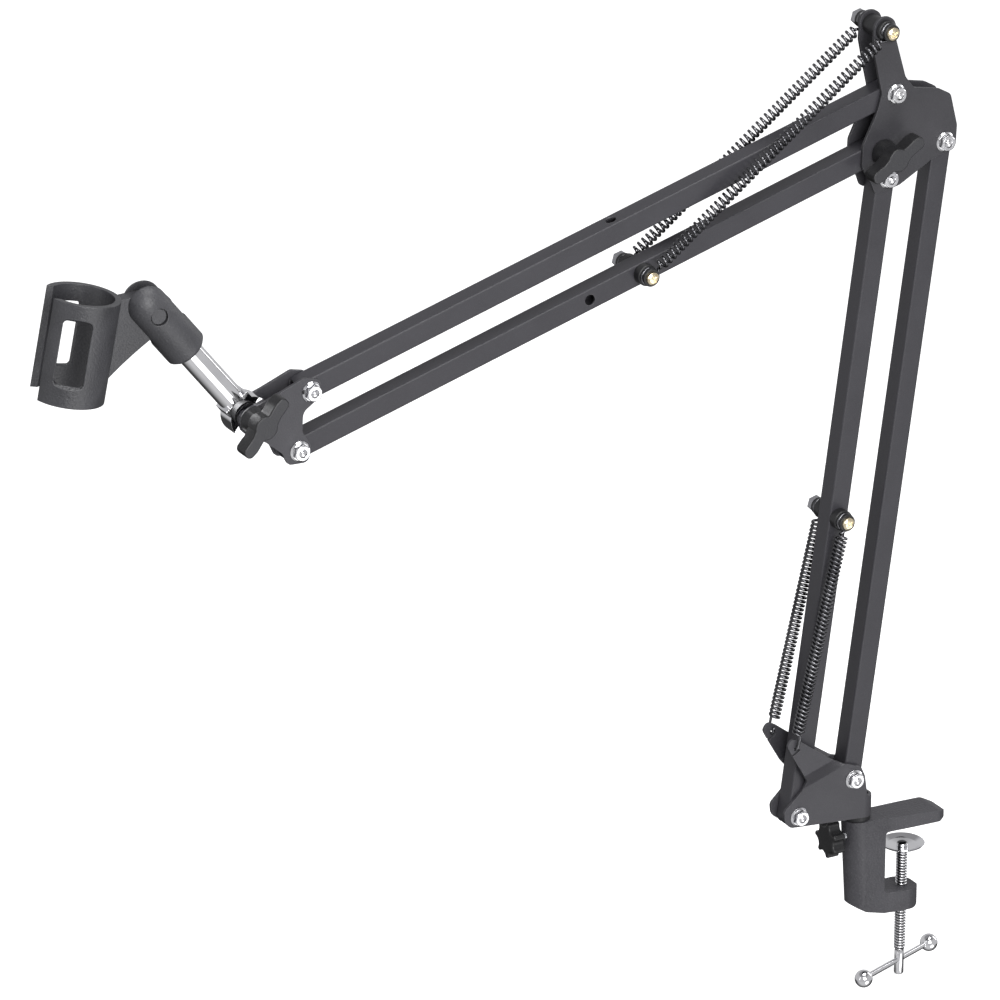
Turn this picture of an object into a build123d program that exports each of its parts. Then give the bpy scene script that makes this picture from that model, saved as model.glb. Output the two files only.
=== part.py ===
from build123d import *
from math import sin, cos, radians, pi
import os

os.makedirs("parts", exist_ok=True)

# ---------------------------------------------------------------------------
# Desk-clamp suspension arm for a microphone: C-clamp with screw, swivelling
# base bracket, two parallelogram arms with helper springs, tilting neck,
# swivel barrel and a split clip.  Millimetres.  +Z up, the arms lie in the XZ
# plane, the clamp jaws open towards +X.  Origin: on the underside of the upper
# jaw, on the axis of the clamp screw.
# ---------------------------------------------------------------------------

# --- tubes and plates
TUBE = 12.0              # square tube, outside
WALL = 1.2               # tube wall
PLATE = 1.8              # sheet thickness of brackets and plates
PLATE_IN = 6.4           # inner face of every side plate, measured from y = 0
PLATE_OUT = PLATE_IN + PLATE
BOLT_R = 2.45            # pivot bolts
PLATE_HOLE_R = 2.5
TUBE_HOLE_R = 2.52
SPARE_R = 3.1            # spare holes in the upper arm

# --- pivots in the XZ plane
B1 = (-75.3, 23.0)       # base bracket, front tube
REAR = (36.3, 15.2)      # front tube pivot to rear tube pivot
LEAN = 7.53              # lower arm leans this many degrees towards +X
LOWER_L = 376.4          # lower arm, pivot to pivot
E3_OFF = (3.7, 47.9)     # elbow: from lower front pivot to upper top pivot
DROP = (7.5, 32.2)       # from an upper-arm lower pivot to its top pivot
SLOPE = 16.47            # upper arm falls this many degrees towards -X
UPPER_L = 375.0          # upper arm, pivot to pivot

low_dir = (sin(radians(LEAN)), cos(radians(LEAN)))
up_dir = (-cos(radians(SLOPE)), -sin(radians(SLOPE)))


def move(p, d, k=1.0):
    return (p[0] + d[0] * k, p[1] + d[1] * k)


B2 = move(B1, REAR)
E1 = move(B1, low_dir, LOWER_L)
E2 = move(B2, low_dir, LOWER_L)
E3 = move(E1, E3_OFF)
E4 = move(E3, DROP, -1.0)
F1 = move(E3, up_dir, UPPER_L)
F2 = move(E4, up_dir, UPPER_L)
POST_P = (-30.3, 481.6)              # spring post on the elbow ears
POST_S1 = move(B1, low_dir, 178.6)   # spring post on the lower front tube
POST_S2 = move(E4, up_dir, 156.3)    # spring post on the upper arm's lower tube
HOOK = (-82.2, 69.0)         # spring hook in the ear of the base bracket
SPRING_Y = 12.5                      # springs run in two planes, y = +/- this
SPRING_R = 3.6
WIRE_R = 0.6

# --- clamp
SWIVEL_X = -31.5         # vertical swivel axis
PIN_R = 5.0
COL_TOP = 9.5
JAW_GAP = 38.6
SCREW_R = 3.4
DISC_R = 13.0
DISC_Z = -13.0           # rim of the pressure disc
BAR_Z = -88.0
BAR_R = 1.6
BALL_R = 5.2
BALL_A = (-32.1, -10.3)
BALL_B = (26.3, 11.5)

# --- neck, barrel and clip
NECK_PIVOT = (-416.8, 329.0)
NECK_ANGLE = 128.3       # neck axis above +X, degrees
NECK_R = 7.1
BARREL_START = 54.0      # along the neck axis, from the neck pivot
BARREL_R = 11.5
DOME_AT = 92.0           # centre of the barrel's round top, along the neck axis
CLIP_PIN = 85.9
BARREL_TURN = -3.4       # barrel and clip turned about the neck axis
RING_TURN = -12.3        # slot and windows turned about the clip's axis
CLIP_TILT = 10.4         # clip axis leans towards +X
CLIP_R = 20.0
CLIP_WALL = 3.2
CLIP_H = 55.6
CLIP_REACH = 40.0        # clip axis to hinge pin
CLIP_TOP = 7.7           # hinge pin to clip top
TONGUE = 8.0
SLOT_DEPTH = 15.8        # slot in the barrel, below the hinge pin
CAP_SEAT = 8.5           # seat of each hinge cap, from the middle


def xz(y):
    """Plane facing -Y at the given y; its local axes are +X and +Z."""
    return Plane.XZ.offset(-y)


def finish(builder, name):
    builder.part.label = name
    export_step(builder.part, "parts/" + name + ".step")


def tube_plane(p, d, y=0.0):
    """Plane at a pivot: local x along the tube, local y across it, facing -Y."""
    return Plane(origin=(p[0], y, p[1]), x_dir=(d[0], 0, d[1]), z_dir=(0, -1, 0))


# ===========================================================================
# Clamp
# ===========================================================================
with BuildPart() as clamp_frame:
    # jaws and back in side view
    with BuildSketch(xz(12)):
        with BuildLine():
            FilletPolyline(
                (-30, COL_TOP), (18.5, 6.6), (24.6, 4.2), (24.6, 0.0), (-17, 0.0),
                (-17, -JAW_GAP), (9.0, -JAW_GAP - 1.4), (9.0, -50.6), (4.0, -51.8),
                (-9.0, -51.6), (-30, -50.0),
                radius=[0, 6, 1.6, 0.8, 2.2, 2.2, 1.2, 1.2, 3, 6, 0], close=True)
        make_face()
    extrude(amount=24)
    # plan outline: the upper jaw widens towards its tip
    with BuildSketch(Plane.XY.offset(-60)):
        with BuildLine():
            FilletPolyline(
                (-32, -9.0), (-14, -9.0), (2, -10.2), (18.5, -11.0), (24.8, -5.5),
                (24.8, 5.5), (18.5, 11.0), (2, 10.2), (-14, 9.0), (-32, 9.0),
                radius=[0, 12, 12, 4, 4, 4, 4, 12, 12, 0], close=True)
        make_face()
    extrude(amount=80, mode=Mode.INTERSECT)
    # round end of the lower jaw
    with BuildSketch(Plane.XY.offset(-60)):
        with Locations((11.5, 0)):
            Rectangle(25, 30)
        with Locations((-1, 0)):
            Circle(10.0, mode=Mode.SUBTRACT)
    extrude(amount=27, mode=Mode.SUBTRACT)
    # column with a round back that leans forward towards its foot
    with BuildSketch(Plane.XY.offset(-52.5)):
        with Locations((SWIVEL_X + 4.2, 0)):
            Circle(9.0)
        with Locations((SWIVEL_X + 4.2 + 5.15, 0)):
            Rectangle(10.3, 18)
    with BuildSketch(Plane.XY.offset(COL_TOP)):
        with Locations((SWIVEL_X, 0)):
            Circle(9.0)
        with Locations((SWIVEL_X + 7.25, 0)):
            Rectangle(14.5, 18)
    loft()
    # the foot of the column slopes up towards the back
    with BuildSketch(xz(12)):
        with BuildLine():
            FilletPolyline((-50, -70), (-50, -36.5), (-40.5, -41.0), (-29.0, -47.6),
                           (-16.0, -51.2), (-16.0, -70), radius=[0, 0, 6, 14, 0, 0], close=True)
        make_face()
    extrude(amount=24, mode=Mode.SUBTRACT)
    # blind bore for the swivel pin, cross hole for its lock screw, screw hole
    with Locations((SWIVEL_X, 0, COL_TOP + 1)):
        Hole(PIN_R + 0.06, depth=36)
    with Locations(Plane(origin=(-50, 0, 0), z_dir=(-1, 0, 0))):
        Hole(3.05, depth=16)
    with Locations((0, 0, -30)):
        Hole(SCREW_R + 0.08, depth=30)
finish(clamp_frame, "clamp_frame")

with BuildPart() as pressure_disc:
    # shallow dish, open upwards, loose on the end of the screw
    with BuildSketch(Plane.XZ):
        with BuildLine():
            Polyline((2.35, DISC_Z - 3.6), (4.2, DISC_Z - 3.6), (9.0, DISC_Z - 2.8),
                     (DISC_R - 0.6, DISC_Z - 0.9), (DISC_R, DISC_Z - 0.3), (DISC_R - 0.5, DISC_Z),
                     (DISC_R - 1.3, DISC_Z - 0.25), (8.8, DISC_Z - 1.7), (4.2, DISC_Z - 2.4),
                     (2.35, DISC_Z - 2.4), close=True)
        make_face()
    revolve(axis=Axis.Z)
finish(pressure_disc, "pressure_disc")

with BuildPart() as clamp_screw:
    # swaged head above the disc, threaded shank, plain end with a cross hole
    with BuildSketch(Plane.XZ):
        with BuildLine():
            Polyline((0, DISC_Z + 0.2), (2.2, DISC_Z), (3.2, DISC_Z - 0.9), (3.3, DISC_Z - 2.3),
                     (2.27, DISC_Z - 2.3), (2.27, DISC_Z - 3.7), (SCREW_R, DISC_Z - 3.7),
                     (SCREW_R, -81.5), (2.75, -82.0), (2.75, -96.4), (2.0, -97.0), (0, -97.0),
                     close=True)
        make_face()
    revolve(axis=Axis.Z)
    bar_axis = Vector(BALL_B[0] - BALL_A[0], BALL_B[1] - BALL_A[1], 0).normalized()
    with Locations(Plane(origin=Vector(0, 0, BAR_Z) + bar_axis * 10, z_dir=bar_axis)):
        Hole(BAR_R + 0.06, depth=20)
finish(clamp_screw, "clamp_screw")

bar_mid = Vector(0, 0, BAR_Z)
along_a = Vector(BALL_A[0], BALL_A[1], 0).dot(bar_axis)
along_b = Vector(BALL_B[0], BALL_B[1], 0).dot(bar_axis)
with BuildPart() as tommy_bar:
    with BuildSketch(Plane(origin=bar_mid + bar_axis * (along_a - 2.0), z_dir=bar_axis)):
        Circle(BAR_R)
    extrude(amount=along_b - along_a + 4.0)
finish(tommy_bar, "tommy_bar")

with BuildPart() as tommy_bar_ends:
    for s in (along_a, along_b):
        with Locations(Plane(origin=bar_mid + bar_axis * s, z_dir=bar_axis)):
            Sphere(BALL_R)
    with BuildSketch(Plane(origin=bar_mid + bar_axis * (along_a - 2.0), z_dir=bar_axis)):
        Circle(BAR_R)
    extrude(amount=along_b - along_a + 4.0, mode=Mode.SUBTRACT)
finish(tommy_bar_ends, "tommy_bar_ends")

# ---- star knob that locks the swivel
KNOB_X = -45.2
with BuildPart() as lock_knob:
    with BuildSketch(Plane(origin=(KNOB_X, 0, 0), z_dir=(-1, 0, 0))):
        Circle(9.3)
        with PolarLocations(9.0, 7, start_angle=12):
            Circle(2.0)
        with PolarLocations(12.1, 7, start_angle=12 + 180 / 7):
            Circle(4.0, mode=Mode.SUBTRACT)
    extrude(amount=7.4)
    with BuildSketch(Plane(origin=(KNOB_X + 1.9, 0, 0), z_dir=(-1, 0, 0))):
        Circle(4.4)
    extrude(amount=2.5)
    fillet(lock_knob.faces().sort_by(Axis.X)[0].edges(), 0.9)
    with Locations(Plane(origin=(KNOB_X + 3, 0, 0), z_dir=(1, 0, 0))):
        Hole(2.9, depth=8.4)
finish(lock_knob, "lock_knob")

with BuildPart() as lock_stud:
    with BuildSketch(Plane(origin=(SWIVEL_X - PIN_R - 0.4, 0, 0), z_dir=(-1, 0, 0))):
        Circle(2.9)
    extrude(amount=-KNOB_X + 5.4 + SWIVEL_X - PIN_R - 0.4)
    chamfer(lock_stud.edges().group_by(Axis.X)[-1], 0.5)
finish(lock_stud, "lock_stud")

# ===========================================================================
# Swivelling base bracket
# ===========================================================================
FLOOR = 12.3             # lowest point of the bracket at the bend
with BuildPart() as thrust_washer:
    with BuildSketch(Plane.XY.offset(COL_TOP + 0.05)):
        with Locations((SWIVEL_X, 0)):
            Circle(7.9)
            Circle(PIN_R + 0.1, mode=Mode.SUBTRACT)
    extrude(amount=FLOOR - COL_TOP - 0.05)
finish(thrust_washer, "thrust_washer")

with BuildPart() as swivel_pin:
    with BuildSketch(Plane.XZ.offset(0)):
        with BuildLine():
            Polyline((SWIVEL_X, -25.0), (SWIVEL_X + PIN_R - 0.8, -25.0), (SWIVEL_X + PIN_R, -24.0),
                     (SWIVEL_X + PIN_R, -4.5), (SWIVEL_X + PIN_R - 0.9, -3.6),
                     (SWIVEL_X + PIN_R - 0.9, 3.6), (SWIVEL_X + PIN_R, 4.5),
                     (SWIVEL_X + PIN_R, FLOOR), (SWIVEL_X + PLATE_IN, FLOOR),
                     (SWIVEL_X + PLATE_IN, 19.4), (SWIVEL_X + PLATE_IN - 0.8, 20.2),
                     (SWIVEL_X, 20.2), close=True)
        make_face()
    revolve(axis=Axis((SWIVEL_X, 0, 0), (0, 0, 1)))
finish(swivel_pin, "swivel_pin")

# bend line of the ears in the plate plane
bend_a, bend_b = (-71.7, 40.0), (-47.2, 48.0)
bend_t = Vector(bend_b[0] - bend_a[0], 0, bend_b[1] - bend_a[1]).normalized()
bend_s = Vector(-bend_t.Z, 0, bend_t.X)
joggle_plane = Plane(origin=(bend_a[0], 0, bend_a[1]), x_dir=bend_s, z_dir=bend_t)
EAR_OUT = 14.0
with BuildPart() as base_bracket:
    # sheet in section across the bend: plate, slanted step, ear
    with BuildSketch(joggle_plane):
        with BuildLine():
            Polyline((-70, PLATE_OUT), (0, PLATE_OUT), (11, EAR_OUT), (60, EAR_OUT),
                     (60, EAR_OUT - PLATE), (11.4, EAR_OUT - PLATE), (0.4, PLATE_IN),
                     (-70, PLATE_IN), close=True)
        make_face()
        mirror(about=Plane.XZ)
    extrude(amount=90, both=True)
    # the plates stop where the rear bend begins
    with BuildSketch(xz(30)):
        with Locations((SWIVEL_X - 50, 40)):
            Rectangle(100, 120)
    extrude(amount=60, mode=Mode.INTERSECT)
    # rear bend round the swivel axis
    with BuildSketch(Plane.XY.offset(5)):
        with Locations((SWIVEL_X, 0)):
            Circle(PLATE_OUT)
            Circle(PLATE_IN, mode=Mode.SUBTRACT)
        with Locations((SWIVEL_X - 10, 0)):
            Rectangle(20, 20, mode=Mode.SUBTRACT)
    extrude(amount=50)
    # side outline
    with BuildSketch(xz(30)):
        with BuildLine():
            FilletPolyline(
                (-85.2, 27.4), (-73.2, 38.8), (-71.5, 44.5), (-75.3, 49.6), (-83.9, 64.2),
                (-87.4, 70.6), (-84.6, 75.4), (-79.0, 72.6), (-60.4, 58.6), (-45.5, 49.0),
                (-34.6, 45.4), (-31.6, 38.6), (-29.6, 25.6), (-22.6, 24.2), (-22.6, FLOOR),
                (-30, FLOOR), (-77.0, 16.6), (-84.2, 17.9),
                radius=[4, 4, 3, 8, 10, 2.6, 3.0, 5, 10, 10, 5, 4, 3, 1.2, 0.5, 10, 5, 7.2],
                close=True)
        make_face()
    extrude(amount=60, mode=Mode.INTERSECT)
    # pivot holes and spring hook slots
    with BuildSketch(xz(30)):
        with Locations(B1, B2):
            Circle(PLATE_HOLE_R)
        # Z-shaped slit, open at the ear's edge: the hook sits at its inner end
        with Locations((HOOK[0] - 0.9, HOOK[1] - 3.9)):
            SlotOverall(8.4, 1.3, rotation=33)
        with Locations((HOOK[0] + 1.1, HOOK[1] - 0.8)):
            SlotOverall(4.7, 1.4, rotation=-33)
    extrude(amount=60, mode=Mode.SUBTRACT)
finish(base_bracket, "base_bracket")


# ---- fastener shapes shared by every pivot
def near_nuts(points):
    """Flange nuts against the near plate, one solid for each point."""
    with BuildPart() as nuts:
        for x, z in points:
            with BuildSketch(Plane(origin=(x, 0, z), x_dir=(1, 0, 0), z_dir=(0, 0, 1))):
                with BuildLine():
                    Polyline((BOLT_R, -PLATE_OUT), (5.7, -PLATE_OUT), (5.7, -PLATE_OUT - 0.5),
                             (4.9, -PLATE_OUT - 1.3), (4.75, -PLATE_OUT - 1.5),
                             (4.75, -PLATE_OUT - 3.5), (3.9, -PLATE_OUT - 4.3),
                             (BOLT_R, -PLATE_OUT - 4.3), close=True)
                make_face()
            revolve(axis=Axis((x, 0, z), (0, 1, 0)))
        # six flats outside the flange
        with BuildSketch(xz(-PLATE_OUT - 1.4)):
            with Locations(*points):
                Circle(6.5)
                RegularPolygon(4.25, 6, major_radius=False, rotation=20, mode=Mode.SUBTRACT)
        extrude(amount=4, mode=Mode.SUBTRACT)
    return nuts


def pivot_bolts(points, near=4.6):
    """Bolts through both plates: domed near end, round head on the far plate."""
    with BuildPart() as bolts:
        for x, z in points:
            with BuildSketch(Plane(origin=(x, 0, z), x_dir=(1, 0, 0), z_dir=(0, 0, 1))):
                with BuildLine():
                    Polyline((0, -PLATE_OUT - near - 0.9), (1.3, -PLATE_OUT - near - 0.6),
                             (2.1, -PLATE_OUT - near), (BOLT_R, -PLATE_OUT - near + 0.6),
                             (BOLT_R, PLATE_OUT), (4.6, PLATE_OUT), (4.5, PLATE_OUT + 1.3),
                             (3.4, PLATE_OUT + 2.5), (1.6, PLATE_OUT + 3.0),
                             (0, PLATE_OUT + 3.1), close=True)
                make_face()
            revolve(axis=Axis((x, 0, z), (0, 1, 0)))
    return bolts


def slip_washers(points):
    """Thin plastic washers inside both plates, clear of the tube by 0.1 mm."""
    with BuildPart() as washers:
        for y in (-6.1, PLATE_IN):
            with BuildSketch(xz(y)):
                with Locations(*points):
                    Circle(5.0)
                    Circle(BOLT_R + 0.1, mode=Mode.SUBTRACT)
            extrude(amount=0.3)
    return washers


base_pivot_bolts = pivot_bolts([B1, B2])
finish(base_pivot_bolts, "base_pivot_bolts")
base_pivot_nuts = near_nuts([B1, B2])
finish(base_pivot_nuts, "base_pivot_nuts")
base_slip_washers = slip_washers([B1, B2])
finish(base_slip_washers, "base_slip_washers")


# ===========================================================================
# Square tubes
# ===========================================================================
def square_tube(p, q, start, end, round_start, round_end, extra_holes=(), spare=None,
                spare_across=None):
    """Square tube from pivot p to pivot q, running past them by start and end.
    A rounded end is a half circle about its pivot."""
    length = (Vector(*q) - Vector(*p)).length
    d = ((q[0] - p[0]) / length, (q[1] - p[1]) / length)
    plane = tube_plane(p, d)
    with BuildPart() as tube:
        with BuildSketch(plane.offset(-TUBE / 2)):
            with BuildLine():
                Polyline((-start, -TUBE / 2), (length + end, -TUBE / 2),
                         (length + end, TUBE / 2), (-start, TUBE / 2), close=True)
            make_face()
            if round_start:
                fillet(vertices().group_by(Axis.X if abs(d[0]) > abs(d[1]) else Axis.Z)[
                    0 if (d[0] if abs(d[0]) > abs(d[1]) else d[1]) > 0 else -1], 5.0)
            if round_end:
                fillet(vertices().group_by(Axis.X if abs(d[0]) > abs(d[1]) else Axis.Z)[
                    -1 if (d[0] if abs(d[0]) > abs(d[1]) else d[1]) > 0 else 0], 5.0)
        extrude(amount=TUBE)
        # hollow: the square bore runs through from end to end
        with BuildSketch(Plane(origin=plane.from_local_coords((-start - 5, 0, 0)),
                               x_dir=(0, 1, 0), z_dir=(d[0], 0, d[1]))):
            RectangleRounded(TUBE - 2 * WALL, TUBE - 2 * WALL, 0.6)
        extrude(amount=length + start + end + 10, mode=Mode.SUBTRACT)
        # rounded long edges
        long_edges = [e for e in tube.edges() if e.length > length * 0.9
                      and abs(abs(e.center().Y) - TUBE / 2) < 0.01]
        fillet(long_edges, 1.0)
        # cross holes
        with BuildSketch(plane.offset(-TUBE)):
            with Locations((0, 0), (length, 0), *extra_holes):
                Circle(TUBE_HOLE_R)
            if spare:
                # spare adjusting hole for the spring post
                with Locations((spare, 0)):
                    Circle(SPARE_R)
        extrude(amount=2 * TUBE, mode=Mode.SUBTRACT)
        if spare_across:
            # the same spare hole through the other pair of walls
            across = Plane(origin=plane.from_local_coords((spare_across, 0, 0)),
                           x_dir=plane.x_dir, z_dir=plane.y_dir)
            with BuildSketch(across.offset(-TUBE)):
                Circle(SPARE_R)
            extrude(amount=2 * TUBE, mode=Mode.SUBTRACT)
    return tube


lower_front_tube = square_tube(B1, E1, 8.0, 6.0, False, True, extra_holes=[(178.6, 0)])
finish(lower_front_tube, "lower_front_tube")
lower_rear_tube = square_tube(B2, E2, 6.5, 6.0, False, True)
finish(lower_rear_tube, "lower_rear_tube")
upper_top_tube = square_tube(E3, F1, 6.0, 6.5, True, False, spare_across=180.0)
finish(upper_top_tube, "upper_top_tube")
upper_lower_tube = square_tube(E4, F2, 6.0, 8.0, True, False, extra_holes=[(156.3, 0)],
                               spare=190.5)
finish(upper_lower_tube, "upper_lower_tube")


# ===========================================================================
# Elbow
# ===========================================================================
def elbow_plate(y):
    with BuildPart() as plate:
        with BuildSketch(xz(y)):
            with BuildLine():
                FilletPolyline(
                    (-36.9, 489.0), (-37.4, 473.0), (-33.9, 456.7), (-31.2, 445.5), (-34.2, 435.0),
                    (-42.6, 417.5), (-43.0, 405.0), (-36.6, 394.4), (-34.2, 387.8),
                    (-18.5, 391.2), (1.4, 402.2), (17.4, 406.8), (18.0, 420.0),
                    (13.3, 438.6), (6.0, 442.6), (-11.0, 446.0), (-16.4, 453.2),
                    (-23.2, 476.0), (-23.6, 489.0),
                    radius=[6.5, 6, 4, 6, 12, 6, 6, 4, 3.5, 8, 8, 4.5, 4, 4, 8, 4, 4, 4, 6.5],
                    close=True)
            make_face()
            with Locations(E1, E2, E3, E4, POST_P):
                Circle(PLATE_HOLE_R, mode=Mode.SUBTRACT)
        extrude(amount=PLATE)
    return plate


elbow_plate_near = elbow_plate(-PLATE_IN)
finish(elbow_plate_near, "elbow_plate_near")
elbow_plate_far = elbow_plate(PLATE_OUT)
finish(elbow_plate_far, "elbow_plate_far")
elbow_pivot_bolts = pivot_bolts([E1, E2, E3])
finish(elbow_pivot_bolts, "elbow_pivot_bolts")
elbow_pivot_nuts = near_nuts([E1, E2, E3])
finish(elbow_pivot_nuts, "elbow_pivot_nuts")
elbow_slip_washers = slip_washers([E1, E2, E3, E4])
finish(elbow_slip_washers, "elbow_slip_washers")


# ---- wing knobs: a round hub with an S-shaped two-lobed grip
WING_BACK = 9.5
WING_FACE = 25.0


def wing_bolt(p):
    """Bolt that the wing knob screws onto; round head on the far plate."""
    with BuildPart() as bolt:
        with BuildSketch(Plane(origin=(p[0], 0, p[1]), x_dir=(1, 0, 0), z_dir=(0, 0, 1))):
            with BuildLine():
                Polyline((0, -20.0), (2.0, -20.0), (BOLT_R, -19.4), (BOLT_R, PLATE_OUT),
                         (5.6, PLATE_OUT), (5.4, PLATE_OUT + 1.2), (4.0, PLATE_OUT + 2.5),
                         (1.8, PLATE_OUT + 3.2), (0, PLATE_OUT + 3.4), close=True)
            make_face()
        revolve(axis=Axis((p[0], 0, p[1]), (0, 1, 0)))
    return bolt


def wing_knob(p, angle):
    plane = Plane(origin=(p[0], -16.0, p[1]), x_dir=(cos(radians(angle)), 0, sin(radians(angle))),
                  z_dir=(0, -1, 0))
    with BuildPart() as knob:
        with BuildSketch(plane):
            Circle(6.6)
            with BuildLine():
                FilletPolyline(
                    (0, 6.2), (5.5, 3.9), (12.0, 5.4), (18.2, 5.4), (18.2, -1.2), (9.0, -2.4),
                    (0, -6.2), (-5.5, -3.9), (-12.0, -5.4), (-18.2, -5.4), (-18.2, 1.2),
                    (-9.0, 2.4),
                    radius=[0, 4, 6, 3.0, 3.0, 8, 0, 4, 6, 3.0, 3.0, 8], close=True)
            make_face()
        extrude(amount=WING_FACE - 16.0)
        with BuildSketch(plane.offset(-16.0 + WING_BACK)):
            Circle(7.6)
        with BuildSketch(plane.offset(0.5)):
            Circle(6.4)
        loft()
        edges = knob.faces().sort_by(Axis.Y)[0].edges()
        fillet(edges, 0.8)
        with BuildSketch(plane.offset(-16.0 + WING_BACK - 1)):
            Circle(3.6)
        extrude(amount=11.8 + 1, mode=Mode.SUBTRACT)
    return knob


def wing_insert(p):
    """Threaded brass bush moulded into the wing knob."""
    with BuildPart() as bush:
        with BuildSketch(xz(-WING_BACK - 0.3)):
            with Locations(p):
                Circle(3.6)
                Circle(BOLT_R + 0.06, mode=Mode.SUBTRACT)
        extrude(amount=11.0)
    return bush


def wing_washer(p):
    with BuildPart() as washer:
        with BuildSketch(xz(-PLATE_OUT)):
            with Locations(p):
                Circle(7.0)
                Circle(BOLT_R + 0.1, mode=Mode.SUBTRACT)
        extrude(amount=WING_BACK - PLATE_OUT - 0.1)
    return washer


elbow_wing_bolt = wing_bolt(E4)
finish(elbow_wing_bolt, "elbow_wing_bolt")
elbow_wing_washer = wing_washer(E4)
finish(elbow_wing_washer, "elbow_wing_washer")
elbow_wing_knob = wing_knob(E4, 24.0)
finish(elbow_wing_knob, "elbow_wing_knob")
elbow_wing_insert = wing_insert(E4)
finish(elbow_wing_insert, "elbow_wing_insert")


# ===========================================================================
# Spring posts: a screw, plastic spools that carry the spring eyes, a nut
# ===========================================================================
def spool(p, inner):
    """Two grooved spools, one each side, from the given |y| outwards."""
    with BuildPart() as spools:
        for s in (-1, 1):
            with BuildSketch(Plane(origin=(p[0], 0, p[1]), x_dir=(1, 0, 0), z_dir=(0, 0, 1))):
                with BuildLine():
                    Polyline((BOLT_R, s * inner), (5.6, s * inner), (5.9, s * (inner + 0.3)),
                             (5.9, s * 10.9), (5.5, s * 11.3), (3.9, s * 11.7), (3.9, s * 13.3),
                             (4.7, s * 13.7), (4.9, s * 14.0), (4.9, s * 15.3),
                             (4.6, s * 15.6), (BOLT_R, s * 15.6), close=True)
                make_face()
            revolve(axis=Axis((p[0], 0, p[1]), (0, 1, 0)))
    return spools


def post_screw(p):
    """Cross-head screw, head on the near side."""
    with BuildPart() as screw:
        with BuildSketch(Plane(origin=(p[0], 0, p[1]), x_dir=(1, 0, 0), z_dir=(0, 0, 1))):
            with BuildLine():
                Polyline((0, -17.9), (2.4, -17.8), (3.5, -17.2), (3.7, -16.4), (3.7, -15.6),
                         (BOLT_R, -15.6), (BOLT_R, 20.6), (2.0, 21.1), (0, 21.1), close=True)
            make_face()
        revolve(axis=Axis((p[0], 0, p[1]), (0, 1, 0)))
        with BuildSketch(xz(-16.9)):
            with Locations(p):
                Rectangle(4.2, 0.9, rotation=35)
                Rectangle(0.9, 4.2, rotation=35)
        extrude(amount=2, mode=Mode.SUBTRACT)
    return screw


def post_nut(p):
    with BuildPart() as nut:
        with BuildSketch(xz(19.6)):
            with Locations(p):
                RegularPolygon(4.2, 6, major_radius=False, rotation=15)
                Circle(BOLT_R, mode=Mode.SUBTRACT)
        extrude(amount=4.0)
    return nut


elbow_post_screw = post_screw(POST_P)
finish(elbow_post_screw, "elbow_post_screw")
elbow_post_spools = spool(POST_P, PLATE_OUT)
finish(elbow_post_spools, "elbow_post_spools")
with BuildPart() as elbow_post_spacer:
    with BuildSketch(xz(PLATE_IN)):
        with Locations(POST_P):
            Circle(5.6)
            Circle(BOLT_R, mode=Mode.SUBTRACT)
    extrude(amount=2 * PLATE_IN)
finish(elbow_post_spacer, "elbow_post_spacer")
elbow_post_nut = post_nut(POST_P)
finish(elbow_post_nut, "elbow_post_nut")

lower_post_screw = post_screw(POST_S1)
finish(lower_post_screw, "lower_post_screw")
lower_post_spools = spool(POST_S1, 6.0)
finish(lower_post_spools, "lower_post_spools")
lower_post_nut = post_nut(POST_S1)
finish(lower_post_nut, "lower_post_nut")

upper_post_screw = post_screw(POST_S2)
finish(upper_post_screw, "upper_post_screw")
upper_post_spools = spool(POST_S2, 6.0)
finish(upper_post_spools, "upper_post_spools")
upper_post_nut = post_nut(POST_S2)
finish(upper_post_nut, "upper_post_nut")


# ---- springs: outer envelope of the coils as a closed sleeve
def spring(p, q, y, start, end):
    length = (Vector(*q) - Vector(*p)).length
    d = Vector(q[0] - p[0], 0, q[1] - p[1]).normalized()
    with BuildPart() as coil:
        with BuildSketch(Plane(origin=Vector(p[0], y, p[1]) + d * start, z_dir=d)):
            Circle(SPRING_R)
            Circle(SPRING_R - 2 * WIRE_R, mode=Mode.SUBTRACT)
        extrude(amount=length - start - end)
    return coil


upper_spring_near = spring(POST_S2, POST_P, -SPRING_Y, 9.0, 9.0)
finish(upper_spring_near, "upper_spring_near")
upper_spring_far = spring(POST_S2, POST_P, SPRING_Y, 9.0, 9.0)
finish(upper_spring_far, "upper_spring_far")
lower_spring_near = spring(HOOK, POST_S1, -SPRING_Y - 0.3, 9.0, 9.0)
finish(lower_spring_near, "lower_spring_near")
lower_spring_far = spring(HOOK, POST_S1, SPRING_Y + 0.3, 9.0, 9.0)
finish(lower_spring_far, "lower_spring_far")


# ===========================================================================
# Front bracket
# ===========================================================================
def front_plate(y):
    with BuildPart() as plate:
        with BuildSketch(xz(y)):
            with BuildLine():
                FilletPolyline(
                    (-424.6, 331.8), (-403.6, 339.0), (-386.4, 345.8), (-376.6, 343.6),
                    (-375.6, 334.6), (-387.0, 327.0), (-387.6, 316.0), (-382.6, 307.5),
                    (-384.0, 298.4), (-396.2, 298.8), (-399.5, 306.0), (-409.0, 314.0),
                    (-422.2, 321.6),
                    radius=[5, 20, 4, 4.5, 3.5, 6, 6, 4, 4, 3.5, 5, 8, 5], close=True)
            make_face()
            with Locations(F1, F2, NECK_PIVOT):
                Circle(PLATE_HOLE_R, mode=Mode.SUBTRACT)
        extrude(amount=PLATE)
    return plate


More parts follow.
